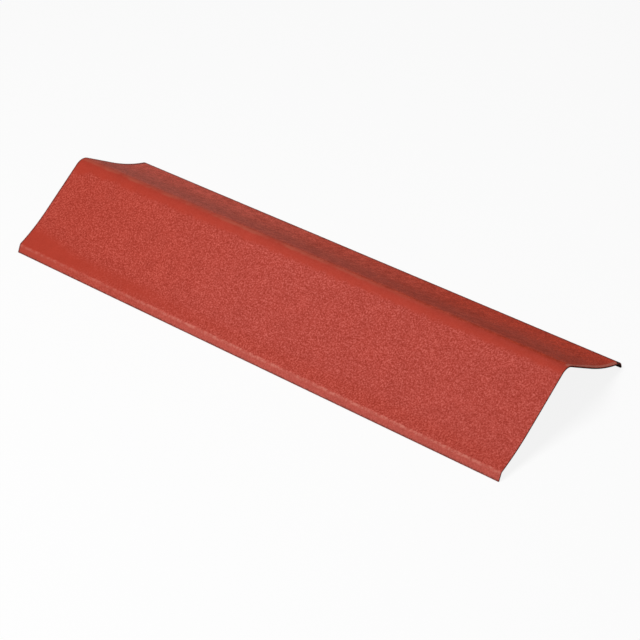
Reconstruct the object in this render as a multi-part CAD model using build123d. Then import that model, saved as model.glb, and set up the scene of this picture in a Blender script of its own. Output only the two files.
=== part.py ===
from build123d import *
from math import atan2, degrees
import os

# Verge trim: one strip of bitumen-saturated fibre board, hot-moulded to a shallow tent
# section and trimmed square at both ends. The barge leg is nailed over the barge board at
# a roof's edge, and the roof leg lies on the outermost corrugated sheet. From the ridge
# bend each leg runs straight, flares gently outwards and ends in a turned-down drip lip.
# The strip lies along X and stands on its two long edges, with the barge leg towards -Y.
# Sizes are in millimetres and turns in degrees. Tight bends are given by the radius on
# their hollow side, which is the underside, and the dished flares by their painted side.

trim_length = 1000.0
board_thickness = 3.0
edge_ease = 0.6

ridge_turn = 66.0
ridge_radius = 20.0

barge_straight = 98.0
barge_flare_radius = 331.0
barge_flare_turn = 12.2
barge_lip_radius = 4.0
barge_lip_turn = 42.4
barge_lip = 12.8

roof_straight = 63.0
roof_flare_radius = 350.0
roof_flare_turn = 12.9
roof_margin = 6.6
roof_lip_radius = 6.6
roof_lip_turn = 60.2
roof_lip = 4.9


def painted_side():
    """The painted side of the section, from the barge leg's edge over the ridge to the roof leg's edge."""
    drip = PolarLine((0, 0), barge_lip, 90)
    drip_bend = JernArc(drip @ 1, drip % 1, barge_lip_radius + board_thickness, -barge_lip_turn)
    flare = JernArc(drip_bend @ 1, drip_bend % 1, barge_flare_radius, barge_flare_turn)
    barge_leg = PolarLine(flare @ 1, barge_straight, direction=flare % 1)
    ridge = JernArc(barge_leg @ 1, barge_leg % 1, ridge_radius + board_thickness, -ridge_turn)
    roof_leg = PolarLine(ridge @ 1, roof_straight, direction=ridge % 1)
    dish = JernArc(roof_leg @ 1, roof_leg % 1, roof_flare_radius, roof_flare_turn)
    margin = PolarLine(dish @ 1, roof_margin, direction=dish % 1)
    lip_bend = JernArc(margin @ 1, margin % 1, roof_lip_radius + board_thickness, -roof_lip_turn)
    lip = PolarLine(lip_bend @ 1, roof_lip, direction=lip_bend % 1)
    return Wire([drip, drip_bend, flare, barge_leg, ridge, roof_leg, dish, margin, lip_bend, lip])


def board_section(painted):
    """The board's full section: the painted side, the underside, and the two eased cut edges."""
    underside = painted.offset_2d(board_thickness, side=Side.RIGHT, closed=False)
    barge_cut = Line(painted @ 0, underside @ 0)
    roof_cut = Line(painted @ 1, underside @ 1)
    board = make_face([painted, roof_cut, underside, barge_cut])
    corners = [painted @ 0, painted @ 1, underside @ 0, underside @ 1]
    sharp = [v for v in board.vertices() if min((Vector(v) - c).length for c in corners) < 1e-3]
    return fillet(sharp, edge_ease)


def level(painted, section):
    """The section turned so that the two lower corners, which it stands on, are level."""
    through_corners = painted.offset_2d(board_thickness - edge_ease, side=Side.RIGHT, closed=False)
    length = through_corners.length
    barge_seat = through_corners.position_at(edge_ease, position_mode=PositionMode.LENGTH)
    roof_seat = through_corners.position_at(length - edge_ease, position_mode=PositionMode.LENGTH)
    across = roof_seat - barge_seat
    return Rot(0, 0, -degrees(atan2(across.Y, across.X))) * section


def verge_trim():
    """The strip, centred over the origin and standing at Z = 0."""
    painted = painted_side()
    section = level(painted, board_section(painted))
    strip = extrude(Plane.YZ * section, trim_length / 2, both=True)
    box = strip.bounding_box()
    return Pos(0, -box.center().Y, -box.min.Z) * strip


os.makedirs("parts", exist_ok=True)
export_step(verge_trim(), "parts/verge_trim.step")
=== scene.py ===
from math import cos, radians, sin

import bpy
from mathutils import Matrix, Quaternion, Vector


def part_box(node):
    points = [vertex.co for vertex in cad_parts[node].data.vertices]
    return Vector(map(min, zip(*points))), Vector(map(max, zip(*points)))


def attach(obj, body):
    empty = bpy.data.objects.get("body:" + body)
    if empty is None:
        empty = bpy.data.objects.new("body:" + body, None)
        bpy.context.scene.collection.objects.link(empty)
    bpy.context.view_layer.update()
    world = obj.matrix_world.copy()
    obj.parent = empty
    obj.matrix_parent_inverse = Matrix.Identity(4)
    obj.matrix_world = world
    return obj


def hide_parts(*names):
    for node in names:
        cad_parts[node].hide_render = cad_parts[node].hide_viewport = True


# Verge trim: one strip of bitumen-soaked fibre board, hot-pressed to a shallow tent section,
# with matt red paint on its outer side. X runs along the strip, and its end at +X is nearest
# to the camera. Z is up, and the barge leg comes down towards -Y. Everything is in metres.

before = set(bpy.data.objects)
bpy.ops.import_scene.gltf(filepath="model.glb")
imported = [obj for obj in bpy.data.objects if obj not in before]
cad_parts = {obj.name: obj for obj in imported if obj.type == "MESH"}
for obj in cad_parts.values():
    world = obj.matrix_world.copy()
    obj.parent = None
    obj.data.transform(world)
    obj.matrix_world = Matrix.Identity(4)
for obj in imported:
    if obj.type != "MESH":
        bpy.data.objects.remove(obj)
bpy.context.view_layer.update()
bpy.ops.object.select_all(action="DESELECT")


# The camera stands where the photograph was taken from.

shot = {
    "place": (1.7923, -1.8557, 1.9395),
    "aim": (0.0902, -0.0586, 0.0500),   # the point in the middle of the picture
    "roll": -5.605,                     # degrees, with the camera leaning clockwise
    "lens": 113.5,                      # millimetres, on a sensor of 36
    "sensor": 36.0,
}


def makeCamera():
    place = Vector(shot["place"])
    level = (Vector(shot["aim"]) - place).to_track_quat("-Z", "Y")
    lean = Quaternion((0, 0, 1), radians(shot["roll"]))
    bpy.ops.object.camera_add(location=place)
    camera = bpy.context.object
    camera.name = "shotCamera"
    camera.rotation_mode = "QUATERNION"
    camera.rotation_quaternion = level @ lean
    camera.data.lens = shot["lens"]
    camera.data.sensor_width = shot["sensor"]
    bpy.context.scene.camera = camera


makeCamera()
print("camera placed")


# The board. Its painted side is drawn run by run, from the foot of the barge leg's drip lip
# over the ridge to the foot of the roof leg's lip, and then thickened towards the hollow side.

board = {
    "length": 0.9999,           # a hair less than the CAD strip's metre
    "thickness": 0.003,
    "edgeEase": 0.0005,
    "easeSteps": 2,             # facets across an eased corner
    "sharpTurn": 60,            # degrees above which a corner is one of the cut edges'
    "smoothTurn": 40,           # degrees up to which the shading runs on over an edge
    "startHeading": 60.11,      # degrees above level at which the drip lip leaves the floor
    "step": 0.0025,             # size of a facet across the strip
    "bendSteps": 4,             # fewest facets round a bend
    "stepsAlong": 83,           # facets along the underside
    "finerAlong": 4,            # cuts that the painted side gets in each of those
    "weld": 1e-5,               # points nearer than this are one
    "paintSlot": 0,
    "bareSlot": 1,
    "runs": [
        # a straight run's length, or a bend's turn in degrees and its radius on the painted side
        ("drip lip", 0.0128),
        ("drip bend", -42.4, 0.007),
        ("flare", 12.2, 0.331),
        ("barge leg", 0.098),
        ("ridge", -66.0, 0.023),
        ("roof leg", 0.063),
        ("dish", 12.9, 0.350),
        ("margin", 0.0066),
        ("lip bend", -60.2, 0.0096),
        ("roof lip", 0.0049),
    ],
}

relief = {
    "swell": 0.0007,            # the most that the sheet sinks between its high spots
    "swellSize": 0.11,
    "swellDetail": 1,
    "lumps": 0.00030,           # depth of the lumpy pressed surface
    "lumpSize": 0.0055,
    "lumpDetail": 2,
    "stillFoot": 0.020,         # height over which the legs come free above their feet
    "stillShare": 0.2,          # how much of that height, at the bottom, keeps its place
}


def extrudeStraight(pen, heading, length):
    steps = max(1, round(length / board["step"]))
    move = Vector((0, cos(heading), sin(heading))) * length
    for _ in range(steps):
        bpy.ops.mesh.extrude_region_move(TRANSFORM_OT_translate={"value": move / steps})
    return pen + move


def spinBend(pen, heading, turn, radius):
    side = 1 if turn > 0 else -1
    centre = pen + side * radius * Vector((0, -sin(heading), cos(heading)))
    steps = max(board["bendSteps"], round(abs(turn) * radius / board["step"]))
    bpy.ops.mesh.spin(steps=steps, angle=-turn, center=centre, axis=(1, 0, 0))
    return centre + Quaternion((1, 0, 0), turn) @ (pen - centre)


def editWithSelected(sheet, chosen):
    # goes to edit mode with just the edges selected for which chosen(edge) is true
    bpy.ops.object.mode_set(mode="EDIT")
    bpy.ops.mesh.select_mode(type="EDGE")
    bpy.ops.mesh.select_all(action="DESELECT")
    bpy.ops.object.mode_set(mode="OBJECT")
    for edge in sheet.data.edges:
        edge.select = chosen(edge)
    bpy.ops.object.mode_set(mode="EDIT")


def foldSheet():
    # a strip one step wide starts the drip lip, and the rest grows from its far edge
    heading = radians(board["startHeading"])
    step = board["step"]
    upwards = Vector((0, cos(heading), sin(heading)))
    bpy.ops.mesh.primitive_grid_add(
        x_subdivisions=board["stepsAlong"], y_subdivisions=1, size=1.0,
        location=upwards * step / 2, rotation=(heading, 0, 0),
    )
    sheet = bpy.context.object
    sheet.name = "pressedBoard"
    sheet.scale = (board["length"], step, 1)
    bpy.ops.object.transform_apply(location=True, rotation=True, scale=True)

    start = upwards * step
    spots = sheet.data.vertices
    editWithSelected(sheet, lambda edge: all(
        (spots[i].co - start).dot(upwards) > -board["weld"] for i in edge.vertices
    ))
    pen = extrudeStraight(start, heading, board["runs"][0][1] - step)
    for run in board["runs"][1:]:
        if len(run) == 2:
            pen = extrudeStraight(pen, heading, run[1])
        else:
            turn = radians(run[1])
            pen = spinBend(pen, heading, turn, run[2])
            heading += turn
    bpy.ops.mesh.select_all(action="SELECT")
    bpy.ops.mesh.remove_doubles(threshold=board["weld"])
    bpy.ops.object.mode_set(mode="OBJECT")
    return sheet


def applyModifier(piece, kind, name, **settings):
    bpy.context.view_layer.objects.active = piece
    modifier = piece.modifiers.new(name, kind)
    for key, value in settings.items():
        setattr(modifier, key, value)
    bpy.ops.object.modifier_apply(modifier=name)


def sharpCorners(sheet, slot):
    # square corners between a cut edge and the side that has this slot
    sides = {}
    for face in sheet.data.polygons:
        for key in face.edge_keys:
            sides.setdefault(key, []).append(face)
    corners = set()
    for key, pair in sides.items():
        if len(pair) == 2 and pair[0].normal.angle(pair[1].normal) > radians(board["sharpTurn"]):
            onPaint = board["paintSlot"] in [face.material_index for face in pair]
            if onPaint == (slot == board["paintSlot"]):
                corners.add(key)
    return corners


def thicken(sheet):
    applyModifier(
        sheet, "SOLIDIFY", "board", thickness=board["thickness"], offset=-1, use_even_offset=True,
        material_offset=board["bareSlot"], material_offset_rim=board["bareSlot"],
    )
    # the corner along the painted side is eased first, and keeps the paint
    for slot in (board["paintSlot"], board["bareSlot"]):
        corners = sharpCorners(sheet, slot)
        editWithSelected(sheet, lambda edge: edge.key in corners)
        bpy.ops.mesh.bevel(
            offset=board["edgeEase"], segments=board["easeSteps"], profile=0.5, affect="EDGES",
            material=slot,
        )
        bpy.ops.object.mode_set(mode="OBJECT")


def refinePaintedSide(sheet):
    # only the edges that run along the strip are cut, and not the short ones at the cut ends
    mesh = sheet.data
    halfFacet = 0.5 * board["length"] / board["stepsAlong"]
    alongEdges = set()
    for face in mesh.polygons:
        if face.material_index == board["paintSlot"]:
            for key in face.edge_keys:
                a, b = (mesh.vertices[i].co for i in key)
                if abs(a.x - b.x) > halfFacet:
                    alongEdges.add(key)
    editWithSelected(sheet, lambda edge: edge.key in alongEdges)
    bpy.ops.mesh.subdivide(number_cuts=board["finerAlong"], quadcorner="INNERVERT")
    bpy.ops.object.mode_set(mode="OBJECT")


def seatInFrame(sheet):
    # the finished board lies exactly where the CAD strip lies
    low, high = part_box("verge_trim")
    spots = [v.co for v in sheet.data.vertices]
    middleY = (min(s.y for s in spots) + max(s.y for s in spots)) / 2
    lowest = min(s.z for s in spots)
    shift = Vector((0, (low.y + high.y) / 2 - middleY, low.z - lowest))
    for vertex in sheet.data.vertices:
        vertex.co += shift


def paintedPoints(mesh):
    painted = [face for face in mesh.polygons if face.material_index == board["paintSlot"]]
    return {i for face in painted for i in face.vertices}


def markDepth(sheet):
    # 0 on the painted side and 1 on the underside, so the cut edges run from one to the other
    mesh = sheet.data
    painted = paintedPoints(mesh)
    depth = mesh.attributes.new("depth", "FLOAT", "POINT")
    depth.data.foreach_set("value", [float(i not in painted) for i in range(len(mesh.vertices))])


def cloudTexture(name, size, detail):
    texture = bpy.data.textures.new(name, "CLOUDS")
    texture.noise_scale = size
    texture.noise_depth = detail
    return texture


def pressRelief(sheet):
    # both reliefs only sink in, so that nothing rises above the section's own outline
    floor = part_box("verge_trim")[0].z
    free = sheet.vertex_groups.new(name="freeOfTheFeet")
    painted = sheet.vertex_groups.new(name="painted")
    for vertex in sheet.data.vertices:
        rise = (vertex.co.z - floor) / relief["stillFoot"]
        free.add([vertex.index], min(1.0, max(0.0, rise - relief["stillShare"])), "REPLACE")
    painted.add(sorted(paintedPoints(sheet.data)), 1.0, "REPLACE")
    applyModifier(
        sheet, "DISPLACE", "swell",
        texture=cloudTexture("swellCloud", relief["swellSize"], relief["swellDetail"]),
        direction="Z", texture_coords="LOCAL", mid_level=1.0, strength=relief["swell"],
        vertex_group="freeOfTheFeet",
    )
    applyModifier(
        sheet, "DISPLACE", "lumps",
        texture=cloudTexture("lumpCloud", relief["lumpSize"], relief["lumpDetail"]),
        direction="NORMAL", texture_coords="LOCAL", mid_level=1.0, strength=relief["lumps"],
        vertex_group="painted",
    )


# What the two finishes are mixed with.

def addNode(tree, kind, name, inputs=None, **settings):
    made = tree.nodes.new(kind)
    made.name = made.label = name
    for key, value in settings.items():
        setattr(made, key, value)
    for key, value in (inputs or {}).items():
        if isinstance(value, bpy.types.NodeSocket):
            tree.links.new(value, made.inputs[key])
        else:
            made.inputs[key].default_value = value
    return made


def newMaterial(name):
    material = bpy.data.materials.new(name)
    material.use_nodes = True
    tree = material.node_tree
    return material, tree, tree.nodes["Principled BSDF"]


def mixColour(tree, name, share, under, over, kind="MIX"):
    mix = addNode(tree, "ShaderNodeMix", name, data_type="RGBA", blend_type=kind)
    sockets = (mix.inputs["Factor"], mix.inputs[6], mix.inputs[7])
    for socket, value in zip(sockets, (share, under, over)):
        if isinstance(value, bpy.types.NodeSocket):
            tree.links.new(value, socket)
        else:
            socket.default_value = value
    return mix.outputs[2]


def calculate(tree, name, operation, first, second=0.0):
    numbers = {0: first, 1: second}
    return addNode(tree, "ShaderNodeMath", name, numbers, operation=operation).outputs[0]


def times(tree, name, first, second):
    return calculate(tree, name, "MULTIPLY", first, second)


def rampTo(tree, name, value, low, high, atLow=0.0, atHigh=1.0):
    return addNode(tree, "ShaderNodeMapRange", name, {
        "Value": value, "From Min": low, "From Max": high, "To Min": atLow, "To Max": atHigh,
    }, interpolation_type="SMOOTHSTEP").outputs[0]


def noiseAt(tree, name, coords, size, detail=2.0, roughness=0.5, stretch=None):
    if stretch:
        coords = addNode(tree, "ShaderNodeMapping", name + " stretch", {
            "Vector": coords, "Scale": stretch,
        }).outputs["Vector"]
    return addNode(tree, "ShaderNodeTexNoise", name, {
        "Vector": coords, "Scale": 1 / size, "Detail": detail, "Roughness": roughness,
    }).outputs["Fac"]


def strayBy(tree, name, value, noise, reach):
    # moves a place to either side as the noise runs, by the reach at the very most
    centred = calculate(tree, name + " centred", "SUBTRACT", noise, 0.5)
    stray = times(tree, name + " stray", centred, 2 * reach)
    return calculate(tree, name, "ADD", value, stray)


def raiseGrain(tree, shader, layers):
    # bumps laid over each other, each a name, a height, a strength and a depth
    normal = None
    for name, height, strength, depth in layers:
        bump = {"Height": height, "Strength": strength, "Distance": depth}
        if normal:
            bump["Normal"] = normal
        normal = addNode(tree, "ShaderNodeBump", name, bump).outputs["Normal"]
    tree.links.new(normal, shader.inputs["Normal"])


# The bare board, and the red paint on its outer side, which ends in dark rims. A noise is given by
# its size, its detail, its roughness and how it is stretched.

bareBoard = {
    "colour": (0.020, 0.009, 0.007, 1),
    "fibre": (0.048, 0.025, 0.019, 1),
    "fibreRange": (0.45, 0.75),     # of the fibres' noise, from all dark to all fibre
    "fibres": (0.0030, 4.0, 0.7, (0.25, 1, 1)),
    "felt": (0.0012, 2.0),
    "roughness": 0.90,
    "gloss": 0.08,
    "fibreRelief": (0.5, 0.0005),   # strength and depth
    "feltRelief": (0.4, 0.0003),
    "paintTo": 0.33,                # share of the cut edges' depth that the paint covers
    "paintSoft": 0.08,
    "paintWander": 0.10,
}

redPaint = {
    # grainy paint: hollows between the grains, the even colour, and the tops of the grains. The
    # pale tops are partly painted sheen, a whitish reflection laid into the colour
    "deep": (0.333, 0.037, 0.023, 1),
    "mean": (0.455, 0.064, 0.046, 1),
    "pale": (0.630, 0.132, 0.105, 1),
    "grainSteps": (0.34, 0.5, 0.68),        # where the grain's noise has those three
    "smooth": (0.441, 0.049, 0.029, 1),     # where the press has ironed the grains flat
    "warm": (0.965, 0.830, 0.735, 1),       # what the colour is multiplied by towards -X
    "mottle": ((0.90, 0.88, 0.87, 1), (1.10, 1.12, 1.13, 1)),
    "noises": {
        "grain": (0.0026, 3.0, 0.65),
        "fine grain": (0.0009, 2.0),
        "patches": (0.030, 3.0, 0.6),
        "clouds": (0.16, 2.0),
        "streaks": (0.011, 4.0, 0.7, (1, 0.65, 0.65)),
        "spots": (0.0062, 3.0, 0.75),
    },
    "roughness": 0.86,
    "roughnessSpan": 0.06,                  # how much rougher or smoother its clouds are
    "roughnessClouds": (0.3, 0.7),
    "gloss": 0.10,
    "grainStrength": 0.70,
    "ironedStrength": 0.18,
    "grainDepth": 0.0006,
    "fineRelief": (0.25, 0.0002),           # strength and depth
    # how far the borders stray from their lines
    "wander": {
        "zones": 0.007, "roofLeg": 0.0035, "smoothEnd": 0.15, "cut": 0.004, "rims": 0.002,
        "tip": 0.001,
    },
    # zones across the strip: where they start and end in Y, how soft they are, and how strong.
    # Either side comes in by the narrowing for each metre towards +X, and out by the spread at -X
    "ridge": {
        "from": -0.0018, "to": 0.0250, "soft": 0.0042, "share": 0.85, "narrowing": 0.005,
        "spread": 0.009, "spreadFrom": -0.490, "spreadTo": -0.455,
    },
    "flareFoot": {
        "from": -0.1500, "to": -0.1270, "soft": 0.0100, "share": 0.90,
        "spread": 0.014, "spreadFrom": -0.490, "spreadTo": -0.360, "warmth": 0.6,
    },
    "roofLeg": {"from": 0.0195, "to": 0.1700, "soft": 0.0030, "share": 0.90, "narrowing": -0.005},
    "dustLine": {"from": 0.0130, "to": 0.0210, "soft": 0.0030, "share": 0.52},
    "lip": {"from": -0.170, "to": -0.1502, "soft": 0.0012, "share": 0.50, "atSmoothEnd": 0.6},
    "lipLine": {"from": -0.1524, "to": -0.1494, "soft": 0.0009, "share": 0.74, "atSmoothEnd": 0.45},
    # ramps across the strip, on the roof leg
    "byRidge": {"from": 0.022, "to": 0.046},
    "crest": {"from": 0.0600, "to": 0.1450, "share": 1.00},
    # ramps along the strip
    "smoothEnd": {"from": -0.420, "to": 0.020, "share": 0.90},
    "dustEnd": {"from": -0.05, "to": 0.38},
    # a painted highlight beside the cut at +X
    "highlightByCut": {"from": 0.4915, "to": 0.4950, "share": 0.75},
    # painted shade: the rear lip's corner at +X goes black
    "shadedTip": {"from": 0.6140, "to": 0.6165, "slant": 0.8},    # over X and this much of Y
    # ramps over a noise
    "dustPatches": (0.24, 0.60),
    # painted glints along the drip lip's bend
    "glints": (0.42, 0.62, 0.10, 1.0),
    # dust and painted sheen on the roof leg towards -X
    "roofDustAndSheenSpread": {"from": 0.45, "to": 1.35, "clouds": 0.9, "streaks": 0.7},
    # dark rims: a ramp's two places, and how dark it is at each. Along the drip lip's foot and the
    # rear lip they are partly painted shade
    "rims": {
        "end": (0.0014, 0.0038, 1.0, 0.0),
        "foot": (0.0016, 0.0048, 1.0, 0.0),
        "rear": (0.1482, 0.1515, 0.0, 1.0),
        "widerOnRoof": 0.0045,
        "share": 0.68,
    },
    "coolerWhereSmooth": 0.3,               # share of the warmth that ironing takes away
    "roofFlatness": 0.35,                   # how near to ironed the roof leg's grains are
    # tints that the zones carry, and tones that multiply what is there
    # painted sheen: the drip lip is tinted paler
    "lipSheenTint": (0.515, 0.110, 0.085, 1),
    # painted highlight: the bright glints along the drip lip's bend
    "lipGlints": (0.640, 0.195, 0.150, 1),
    # partly painted shade: the roof leg's duller red, on a leg that slopes away from the light
    "roofRed": (0.375, 0.043, 0.020, 1),
    # dust and painted sheen: the greyer tone of the roof leg towards -X
    "roofDustAndSheen": (0.440, 0.086, 0.058, 1),
    "dustTint": (0.470, 0.115, 0.072, 1),
    # painted highlight beside the cut at +X
    "cutHighlightTint": (0.520, 0.170, 0.125, 1),
    # dark rims, partly painted shade along the drip lip's foot and the rear lip
    "darkRim": (0.050, 0.023, 0.018, 1),
    # partly painted light: the crest is lighter where the leg turns up towards the light
    "crestTone": (1.310, 1.160, 1.170, 1),
    # painted light: the roof leg is lighter next to the ridge
    "ridgeTone": (1.130, 1.050, 1.020, 1),
    "streakTones": ((0.44, 0.40, 0.39, 1), (1.56, 1.60, 1.61, 1)),
    "roofGrainTones": ((0.74, 0.69, 0.67, 1), (1.26, 1.36, 1.40, 1)),
}


def zoneShare(tree, name, across, along=0.0):
    # how much of a zone's tint a place has
    zone = redPaint[name]
    first, last, soft = zone["from"], zone["to"], zone["soft"]
    closer = times(tree, name + " narrowing", along, zone.get("narrowing", 0.0))
    if "spread" in zone:
        spread = rampTo(tree, name + " spread", along, zone["spreadFrom"], zone["spreadTo"],
                        zone["spread"], 0.0)
        closer = calculate(tree, name + " spreading", "SUBTRACT", closer, spread)
    front = calculate(tree, name + " front", "SUBTRACT", across, closer)
    back = calculate(tree, name + " back", "ADD", across, closer)
    start = rampTo(tree, name + " start", front, first - soft, first + soft)
    end = rampTo(tree, name + " end", back, last - soft, last + soft, 1.0, 0.0)
    return times(tree, name + " share", times(tree, name, start, end), zone["share"])


def paintPlaces(tree):
    # what the paint is laid out by: the place on the strip, the noises, and wandering borders
    coords = addNode(tree, "ShaderNodeTexCoord", "place").outputs["Object"]
    split = addNode(tree, "ShaderNodeSeparateXYZ", "axes", {"Vector": coords})
    at = dict(zip(("along", "across", "height"), split.outputs))
    for name, look in redPaint["noises"].items():
        at[name] = noiseAt(tree, name, coords, *look)
    wander, end = redPaint["wander"], redPaint["smoothEnd"]
    at["wandering"] = strayBy(tree, "wandering", at["across"], at["patches"], wander["zones"])
    at["calmer"] = strayBy(tree, "calmer", at["across"], at["patches"], wander["roofLeg"])
    wavy = strayBy(tree, "wandering along", at["along"], at["clouds"], wander["smoothEnd"])
    at["smoothEnd"] = rampTo(tree, "near the end", wavy, end["from"], end["to"], 1.0, 0.0)
    return at


def grainColour(tree, at):
    low, middle, high = redPaint["grainSteps"]
    # the pale grain tops carry a painted sheen as well as the paint's own mottling
    colours = addNode(tree, "ShaderNodeValToRGB", "grain colours", {"Fac": at["grain"]})
    ramp = colours.color_ramp
    ramp.elements[0].position, ramp.elements[0].color = low, redPaint["deep"]
    ramp.elements[1].position, ramp.elements[1].color = high, redPaint["pale"]
    ramp.elements.new(middle).color = redPaint["mean"]
    return colours.outputs["Color"]


def lessAtSmoothEnd(tree, name, at, zone, share):
    # fades a share down to what the zone keeps of it at the ironed end
    keeps = redPaint[zone]["atSmoothEnd"]
    kept = rampTo(tree, name + " kept", at["smoothEnd"], 0.0, 1.0, 1.0, keeps)
    return times(tree, name, share, kept)


def roofColour(tree, at):
    # the roof leg is duller, dusty towards -X, and redder at its crest. Its duller red is partly
    # painted shade, for a leg that slopes away from the light; the dusty tone towards -X is dust
    # and partly a painted sheen; the tone multiplied in by the ridge is painted light, and the
    # redder crest is partly painted light, where the leg turns up towards the light
    dustAndSheenSpread, crest, byRidge = redPaint["roofDustAndSheenSpread"], redPaint["crest"], redPaint["byRidge"]
    low, _, high = redPaint["grainSteps"]
    dustSheenNoise = calculate(tree, "dust and sheen noise", "ADD",
                          times(tree, "wide dust and sheen", at["clouds"], dustAndSheenSpread["clouds"]),
                          times(tree, "streaky dust and sheen", at["streaks"], dustAndSheenSpread["streaks"]))
    dustSheenPlace = calculate(tree, "dust and sheen place", "SUBTRACT", dustSheenNoise, at["along"])
    dust = rampTo(tree, "dust and sheen share", dustSheenPlace, dustAndSheenSpread["from"], dustAndSheenSpread["to"])
    roof = mixColour(tree, "roof dust and sheen", dust, redPaint["roofRed"], redPaint["roofDustAndSheen"])

    nearRidge = rampTo(tree, "near the ridge", at["wandering"], byRidge["from"], byRidge["to"],
                       1.0, 0.0)
    nearCrest = rampTo(tree, "near the crest", at["wandering"], crest["from"], crest["to"],
                       0.0, crest["share"])
    streakTone = mixColour(tree, "streak tone", at["streaks"], *redPaint["streakTones"])
    grainShare = rampTo(tree, "roof grain share", at["grain"], low, high)
    grainTone = mixColour(tree, "roof grain", grainShare, *redPaint["roofGrainTones"])
    for name, share, tone in (
        ("roof by the ridge", nearRidge, redPaint["ridgeTone"]),
        ("roof streaks", 1.0, streakTone),
        ("grainy roof", 1.0, grainTone),
        ("roof crest", nearCrest, redPaint["crestTone"]),
    ):
        roof = mixColour(tree, name, share, roof, tone, "MULTIPLY")
    return roof


def warmShare(tree, at, foot, ironed, onRoof):
    # the barge leg is warmer towards -X and at the flare's foot, less so where it is ironed
    footWarmth = times(tree, "foot all along", foot, redPaint["flareFoot"]["warmth"])
    endWarmth = times(tree, "end share", at["smoothEnd"], redPaint["smoothEnd"]["share"])
    warmth = calculate(tree, "warm share", "MAXIMUM", footWarmth, endWarmth)
    warmth = calculate(tree, "warm off the roof", "SUBTRACT", warmth, onRoof)
    cooler = times(tree, "smooth part", ironed, redPaint["coolerWhereSmooth"])
    return calculate(tree, "less warm where smooth", "SUBTRACT", warmth, cooler)


def settledDust(tree, at):
    # dust has settled where the roof leg begins, most of it towards -X
    end = redPaint["dustEnd"]
    inEnd = rampTo(tree, "dust towards one end", at["along"], end["from"], end["to"], 1.0, 0.0)
    inPatches = rampTo(tree, "dust patches", at["patches"], *redPaint["dustPatches"])
    line = zoneShare(tree, "dustLine", at["calmer"], at["along"])
    return times(tree, "patchy dust", times(tree, "settled dust", line, inEnd), inPatches)


def cutHighlightShare(tree, at, onRoof):
    # beside the cut at +X the roof leg is tinted pale: a painted highlight along the cut edge
    cut = redPaint["highlightByCut"]
    line = strayBy(tree, "cut line", at["along"], at["patches"], redPaint["wander"]["cut"])
    besideCut = rampTo(tree, "beside the cut", line, cut["from"], cut["to"])
    return times(tree, "cut highlight share", times(tree, "cut highlight on roof", besideCut, onRoof), cut["share"])


def glintShare(tree, at):
    # the drip lip has bright painted glints where it bends, a painted highlight laid into the
    # colour
    spotted = rampTo(tree, "glint spots", at["spots"], *redPaint["glints"])
    glints = times(tree, "lip specks", zoneShare(tree, "lipLine", at["across"]), spotted)
    return lessAtSmoothEnd(tree, "specks off the end", at, "lipLine", glints)


def darkRimShare(tree, at, onRoof):
    # in a ragged line the paint ends short of the cut at -X, and goes dark along the drip lip's
    # foot and the rear lip, where the dark rim is partly painted shade as the sheet turns away from
    # the light
    rims = redPaint["rims"]
    fromEnd = calculate(tree, "from the end", "ADD", at["along"], board["length"] / 2)
    wider = times(tree, "roof leg's share", onRoof, rims["widerOnRoof"])
    fromEnd = calculate(tree, "wider on the roof leg", "SUBTRACT", fromEnd, wider)
    bare = 0.0
    for name, place in (("end", fromEnd), ("foot", at["height"]), ("rear", at["across"])):
        ragged = strayBy(tree, name + " line", place, at["grain"], redPaint["wander"]["rims"])
        edge = rampTo(tree, "bare " + name, ragged, *rims[name])
        bare = calculate(tree, "bare with " + name, "MAXIMUM", bare, edge)
    return times(tree, "dark rim share", bare, rims["share"])


def shadedTipShare(tree, at):
    # the roof leg's corner at +X is coloured as black bare board: painted shade at the rear lip's
    # corner
    tip = redPaint["shadedTip"]
    slanted = times(tree, "slanted", at["across"], tip["slant"])
    towardsTip = calculate(tree, "towards the tip", "ADD", at["along"], slanted)
    ragged = strayBy(tree, "tip line", towardsTip, at["grain"], redPaint["wander"]["tip"])
    return rampTo(tree, "shaded tip", ragged, tip["from"], tip["to"])


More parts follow.
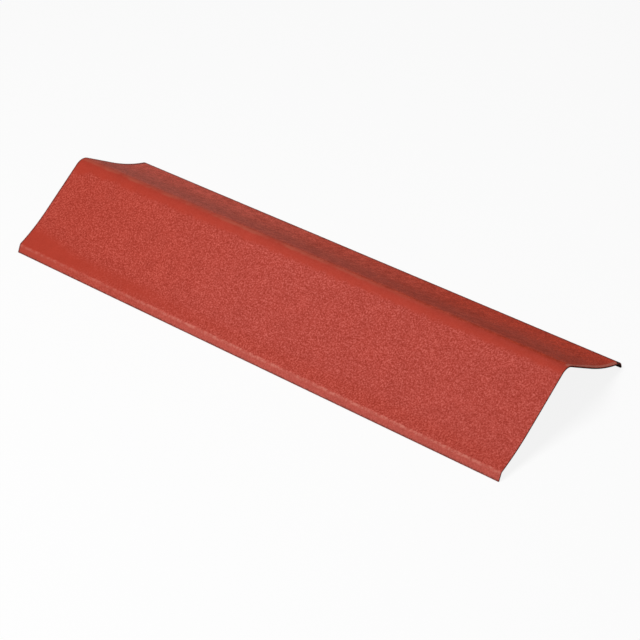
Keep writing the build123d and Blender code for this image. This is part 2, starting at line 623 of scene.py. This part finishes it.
def makePaint():
    material, tree, shader = newMaterial("matt red paint")
    at = paintPlaces(tree)

    # pressing has ironed the ridge, and the flare's foot towards -X
    onRoof = zoneShare(tree, "roofLeg", at["calmer"], at["along"])
    foot = zoneShare(tree, "flareFoot", at["wandering"], at["along"])
    ridge = zoneShare(tree, "ridge", at["wandering"], at["along"])
    ironed = calculate(tree, "ironed", "MAXIMUM", ridge,
                       times(tree, "foot at that end", foot, at["smoothEnd"]))
    # the drip lip is tinted paler, a painted sheen
    onLip = lessAtSmoothEnd(tree, "lip share off the end", at, "lip",
                            zoneShare(tree, "lip", at["across"]))
    warmth = warmShare(tree, at, foot, ironed, onRoof)
    mottle = mixColour(tree, "mottle", at["patches"], *redPaint["mottle"])

    colour = grainColour(tree, at)
    for name, share, over, kind in (
        ("ironed tint", ironed, redPaint["smooth"], "MIX"),
        ("lip sheen tint", onLip, redPaint["lipSheenTint"], "MIX"),
        ("roof tint", onRoof, roofColour(tree, at), "MIX"),
        ("warm tone", warmth, redPaint["warm"], "MULTIPLY"),
        ("mottled", 1.0, mottle, "MULTIPLY"),
        ("settled dust tint", settledDust(tree, at), redPaint["dustTint"], "MIX"),
        ("cut highlight tint", cutHighlightShare(tree, at, onRoof), redPaint["cutHighlightTint"], "MIX"),
        ("lip glint tint", glintShare(tree, at), redPaint["lipGlints"], "MIX"),
        ("dark rim tint", darkRimShare(tree, at, onRoof), redPaint["darkRim"], "MIX"),
        ("shaded tip tint", shadedTipShare(tree, at), bareBoard["colour"], "MIX"),
    ):
        colour = mixColour(tree, name, share, colour, over, kind)
    tree.links.new(colour, shader.inputs["Base Color"])

    roughness, span = redPaint["roughness"], redPaint["roughnessSpan"]
    rough = rampTo(tree, "roughness", at["clouds"], *redPaint["roughnessClouds"],
                   roughness - span, roughness + span)
    tree.links.new(rough, shader.inputs["Roughness"])
    shader.inputs["Specular IOR Level"].default_value = redPaint["gloss"]
    flat = calculate(tree, "smooth", "MAXIMUM", ironed,
                     times(tree, "flatter roof", onRoof, redPaint["roofFlatness"]))
    strength = rampTo(tree, "relief strength", flat, 0.0, 1.0,
                      redPaint["grainStrength"], redPaint["ironedStrength"])
    raiseGrain(tree, shader, (
        ("grain relief", at["grain"], strength, redPaint["grainDepth"]),
        ("fine relief", at["fine grain"], *redPaint["fineRelief"]),
    ))
    return material


def makeBareBoard():
    material, tree, shader = newMaterial("bare bitumen board")
    coords = addNode(tree, "ShaderNodeTexCoord", "place").outputs["Object"]
    fibres = noiseAt(tree, "fibres", coords, *bareBoard["fibres"])
    felt = noiseAt(tree, "felt", coords, *bareBoard["felt"])
    share = rampTo(tree, "fibre share", fibres, *bareBoard["fibreRange"])
    colour = mixColour(tree, "fibre tint", share, bareBoard["colour"], bareBoard["fibre"])

    # paint has crept over the top of the cut edges, in a ragged line
    depth = addNode(tree, "ShaderNodeAttribute", "depth", attribute_name="depth").outputs["Fac"]
    ragged = strayBy(tree, "ragged depth", depth, felt, bareBoard["paintWander"])
    paintTo, soft = bareBoard["paintTo"], bareBoard["paintSoft"]
    crept = rampTo(tree, "crept paint", ragged, paintTo - soft, paintTo + soft, 1.0, 0.0)
    colour = mixColour(tree, "crept tint", crept, colour, redPaint["smooth"])
    tree.links.new(colour, shader.inputs["Base Color"])
    shader.inputs["Roughness"].default_value = bareBoard["roughness"]
    shader.inputs["Specular IOR Level"].default_value = bareBoard["gloss"]
    raiseGrain(tree, shader, (
        ("fibre relief", fibres, *bareBoard["fibreRelief"]),
        ("felt relief", felt, *bareBoard["feltRelief"]),
    ))
    return material


def makeBoard():
    sheet = foldSheet()
    sheet.data.materials.append(makePaint())
    sheet.data.materials.append(makeBareBoard())
    print("sheet folded:", len(sheet.data.polygons), "faces")
    thicken(sheet)
    refinePaintedSide(sheet)
    seatInFrame(sheet)
    print("board thickened:", len(sheet.data.polygons), "faces")
    print("triangles:", sum(len(face.vertices) - 2 for face in sheet.data.polygons))
    pressRelief(sheet)
    markDepth(sheet)
    bpy.ops.object.select_all(action="DESELECT")
    sheet.select_set(True)
    bpy.context.view_layer.objects.active = sheet
    bpy.ops.object.shade_smooth_by_angle(angle=radians(board["smoothTurn"]))
    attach(sheet, "root")
    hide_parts("verge_trim")


makeBoard()
print("relief pressed and paint laid on")


# The studio: a white floor, one large soft lamp high in front, and a pale sky.

studio = {
    "floorSize": 120.0,
    "floorWhite": 0.88,
    "floorRoughness": 0.9,
    "shadowShare": 0.12,        # how much of the floor's own shading the camera sees
    "skyStrength": 0.12,
    "lampPlace": (-0.30, -1.60, 3.20),
    "lampSize": 1.4,
    "lampPower": 112.0,
}


def seenRay(tree):
    # 1 for what the camera sees, directly or in a reflection or through glass
    path = addNode(tree, "ShaderNodeLightPath", "ray")
    mirrored = calculate(tree, "mirrored", "MAXIMUM", path.outputs["Is Glossy Ray"],
                         path.outputs["Is Transmission Ray"])
    return calculate(tree, "seen", "MAXIMUM", path.outputs["Is Camera Ray"], mirrored)


def makeFloor():
    bpy.ops.object.select_all(action="DESELECT")
    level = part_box("verge_trim")[0].z
    bpy.ops.mesh.primitive_plane_add(size=studio["floorSize"], location=(0, 0, level))
    floor = bpy.context.object
    floor.name = "studioFloor"
    material, tree, shader = newMaterial("white floor")
    white = studio["floorWhite"]
    shader.inputs["Base Color"].default_value = (white, white, white, 1)
    shader.inputs["Roughness"].default_value = studio["floorRoughness"]
    shader.inputs["Specular IOR Level"].default_value = 0.0
    glow = addNode(tree, "ShaderNodeEmission", "white", {"Color": (1, 1, 1, 1), "Strength": 1.0})
    share = times(tree, "share of white", seenRay(tree), 1 - studio["shadowShare"])
    blend = addNode(tree, "ShaderNodeMixShader", "floor and white", {
        "Fac": share, 1: shader.outputs["BSDF"], 2: glow.outputs[0],
    })
    tree.links.new(blend.outputs[0], tree.nodes["Material Output"].inputs["Surface"])
    floor.data.materials.append(material)


def makeLamp():
    place = Vector(studio["lampPlace"])
    bpy.ops.object.light_add(type="AREA", location=place)
    lamp = bpy.context.object
    lamp.name = "softbox"
    lamp.rotation_mode = "QUATERNION"
    lamp.rotation_quaternion = (-place).to_track_quat("-Z", "Y")
    lamp.data.shape = "SQUARE"
    lamp.data.size = studio["lampSize"]
    lamp.data.energy = studio["lampPower"]


def makeSky():
    world = bpy.data.worlds.new("studioSky")
    bpy.context.scene.world = world
    world.use_nodes = True
    tree = world.node_tree
    tree.nodes.clear()
    level = rampTo(tree, "white where seen", seenRay(tree), 0.0, 1.0, studio["skyStrength"], 1.0)
    sky = addNode(tree, "ShaderNodeBackground", "sky", {"Color": (1, 1, 1, 1), "Strength": level})
    out = addNode(tree, "ShaderNodeOutputWorld", "out")
    tree.links.new(sky.outputs[0], out.inputs["Surface"])


makeFloor()
makeLamp()
makeSky()
bpy.context.scene.view_settings.view_transform = "Standard"
print("studio set")
